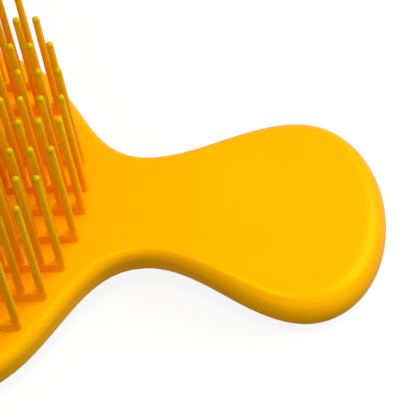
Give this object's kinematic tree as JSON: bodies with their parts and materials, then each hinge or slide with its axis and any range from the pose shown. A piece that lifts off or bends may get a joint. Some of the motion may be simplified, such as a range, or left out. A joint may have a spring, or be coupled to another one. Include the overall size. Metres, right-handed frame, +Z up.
{
  "type": "hair brush",
  "caption": "Leaf-shaped detangling brush with a short paddle handle, a bent neck and lengthwise strips of long, slender, round-tipped pins.",
  "frame": {"origin": "centre of the bounding box, on the surface that the brush rests on with its pins up", "axes": "+X from the leaf tip to the handle end, +Y to the left of the handle, +Z up on the pin side"},
  "size_m": [0.159, 0.09, 0.039],
  "materials": {
    "body_plastic": "satin moulded plastic, orange-yellow",
    "pin_plastic": "satin moulded nylon, orange-yellow"
  },
  "bodies": {
    "root": {"face_shell": "body_plastic", "back_cover": "body_plastic", "pin_strip_left_1": "pin_plastic", "pin_strip_left_2": "pin_plastic", "pin_strip_left_3": "pin_plastic", "pin_strip_left_4": "pin_plastic", "pin_strip_left_5": "pin_plastic", "pin_strip_left_6": "pin_plastic", "pin_strip_right_1": "pin_plastic", "pin_strip_right_2": "pin_plastic", "pin_strip_right_3": "pin_plastic", "pin_strip_right_4": "pin_plastic", "pin_strip_right_5": "pin_plastic", "pin_strip_right_6": "pin_plastic"}
  },
  "joints": []
}
